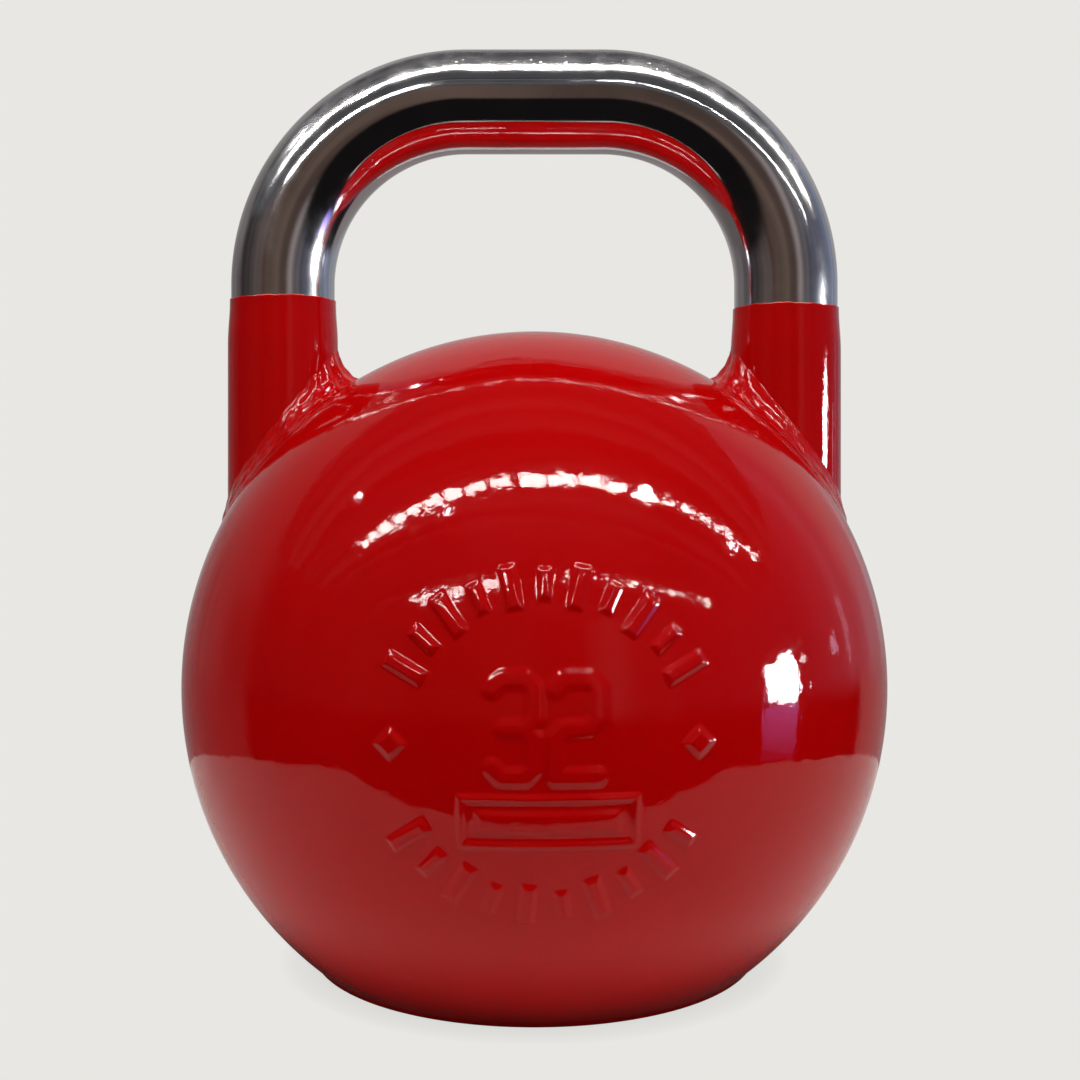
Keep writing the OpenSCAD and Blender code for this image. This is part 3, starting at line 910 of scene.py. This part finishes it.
# What reflections see of the room at eye level: azimuth, from behind round by the left, and colour
ROOM = (
    (-180, (0.44, 0.42, 0.41)),
    (-150, (0.30, 0.27, 0.27)),
    (-133, (0.20, 0.18, 0.18)),
    (-112, (0.16, 0.14, 0.14)),
    (-103, (0.13, 0.11, 0.11)),
    (-95, (0.04, 0.03, 0.03)),
    (-75, (0.06, 0.05, 0.05)),
    (-48, (0.13, 0.10, 0.09)),
    (-33, (0.09, 0.05, 0.04)),
    (-18, (0.13, 0.09, 0.07)),
    (0, (0.12, 0.08, 0.065)),
    (14, (0.09, 0.06, 0.05)),
    (25, (0.34, 0.29, 0.29)),
    (33, (0.16, 0.14, 0.14)),
    (50, (0.09, 0.09, 0.12)),
    (76, (0.10, 0.10, 0.14)),
    (95, (0.10, 0.11, 0.16)),
    (108, (0.22, 0.25, 0.34)),
    (118, (0.28, 0.32, 0.43)),
    (125, (0.24, 0.27, 0.35)),
    (150, (0.38, 0.40, 0.43)),
    (180, (0.44, 0.42, 0.41)),
)


def studio_world():
    """Pale to the camera. Reflections see a dim room in front, a paler one behind and a dark ceiling.

    Diffuse light from it is even and weak, so that the reflected room doesn't tint the object.
    """
    world = bpy.data.worlds.new("studio")
    bpy.context.scene.world = world
    world.use_nodes = True
    tree = world.node_tree
    tree.nodes.clear()

    def add(kind, inputs, **settings):
        made = tree.nodes.new(kind)
        for key, value in settings.items():
            setattr(made, key, value)
        for socket, value in inputs.items():
            if isinstance(value, bpy.types.NodeSocket):
                tree.links.new(value, made.inputs[socket])
            else:
                made.inputs[socket].default_value = value
        return made

    def step(value, low, high, to_low=0.0, to_high=1.0):
        inputs = {"Value": value, "From Min": low, "From Max": high, "To Min": to_low, "To Max": to_high}
        return add("ShaderNodeMapRange", inputs, interpolation_type="SMOOTHSTEP").outputs["Result"]

    def mix(factor, a, b, **settings):
        return add("ShaderNodeMix", {0: factor, 6: a, 7: b}, data_type="RGBA", **settings).outputs[2]

    def calculate(operation, a, b=0.0):
        return add("ShaderNodeMath", {0: a, 1: b}, operation=operation).outputs[0]

    towards = add("ShaderNodeTexCoord", {}).outputs["Generated"]
    parts = add("ShaderNodeSeparateXYZ", {0: towards}).outputs
    up, back = parts["Z"], parts["Y"]
    rightward = calculate("MAXIMUM", parts["X"], 0.0)
    not_left = step(parts["X"], -0.85, -0.2)
    behind = calculate("SUBTRACT", back, calculate("MULTIPLY", rightward, 0.45))

    # Walls: a colour for each azimuth, with upright streaks, and a pale end wall higher up behind
    turn = calculate("ARCTAN2", parts["X"], calculate("MULTIPLY", back, -1.0))
    share = calculate("ADD", calculate("DIVIDE", turn, 2 * math.pi), 0.5)
    room = add("ShaderNodeValToRGB", {"Fac": share})
    stops = room.color_ramp.elements
    stops.remove(stops[1])
    stops[0].color = (*ROOM[0][1], 1)
    for azimuth, colour in ROOM[1:]:
        stops.new(azimuth / 360 + 0.5).color = (*colour, 1)
    clutter = add("ShaderNodeTexNoise", {"W": share, "Scale": 28.0, "Detail": 2.0}, noise_dimensions="1D")
    streaks = step(clutter.outputs["Fac"], 0.35, 0.65, 0.82, 1.18)
    walls = mix(1.0, room.outputs["Color"], streaks, blend_type="MULTIPLY")
    pale_wall = mix(not_left, (0.21, 0.195, 0.19, 1), (0.42, 0.39, 0.385, 1))
    high_behind = calculate("MULTIPLY", step(up, 0.10, 0.30), step(behind, 0.15, 0.35))
    upper_walls = mix(high_behind, walls, pale_wall)

    # Ceiling with beams, from the walls' top edge upwards
    along = calculate("DIVIDE", back, calculate("MAXIMUM", up, 0.2))
    beams = add("ShaderNodeTexNoise", {"W": along, "Scale": 7.0, "Detail": 4.0}, noise_dimensions="1D")
    ceiling = mix(step(beams.outputs["Fac"], 0.40, 0.72), (0.055, 0.055, 0.06, 1), (0.19, 0.19, 0.20, 1))
    tilt = calculate("MULTIPLY", rightward, 0.4)
    slope = step(parts["X"], -0.5, -0.1, 1.7, 1.15)
    wall_top = calculate("MAXIMUM", calculate("ADD", calculate("MULTIPLY", back, slope), tilt), 0.40)
    high = mix(step(calculate("SUBTRACT", up, wall_top), -0.015, 0.02), upper_walls, ceiling)

    # Below eye level, then what each kind of ray sees
    low_wall = mix(not_left, (0.15, 0.13, 0.13, 1), (0.30, 0.26, 0.26, 1))
    below = mix(step(behind, 0.12, 0.22), (0.008, 0.007, 0.007, 1), low_wall)
    seen = mix(step(up, -0.02, -0.14), high, below)
    rays = add("ShaderNodeLightPath", {}).outputs
    lit = mix(rays["Is Diffuse Ray"], seen, (0.09, 0.09, 0.09, 1))
    shown = mix(rays["Is Camera Ray"], lit, (*PALE, 1))
    background = add("ShaderNodeBackground", {"Color": shown, "Strength": 1.0})
    output = add("ShaderNodeOutputWorld", {})
    tree.links.new(background.outputs[0], output.inputs["Surface"])


studio_world()

# The camera is level. Its shifts put the object where the photo has it
camera_data = bpy.data.cameras.new("camera")
camera_data.sensor_width = 36
camera_data.lens = 49.05
camera_data.shift_x = 0.0052
camera_data.shift_y = -0.0679
camera = add_object("camera", camera_data)
camera.location = (0, -CAMERA_BACK, BALL_Z + CAMERA_UP)
camera.rotation_euler = (math.radians(90), 0, 0)
bpy.context.scene.camera = camera
bpy.context.scene.view_settings.view_transform = "Standard"
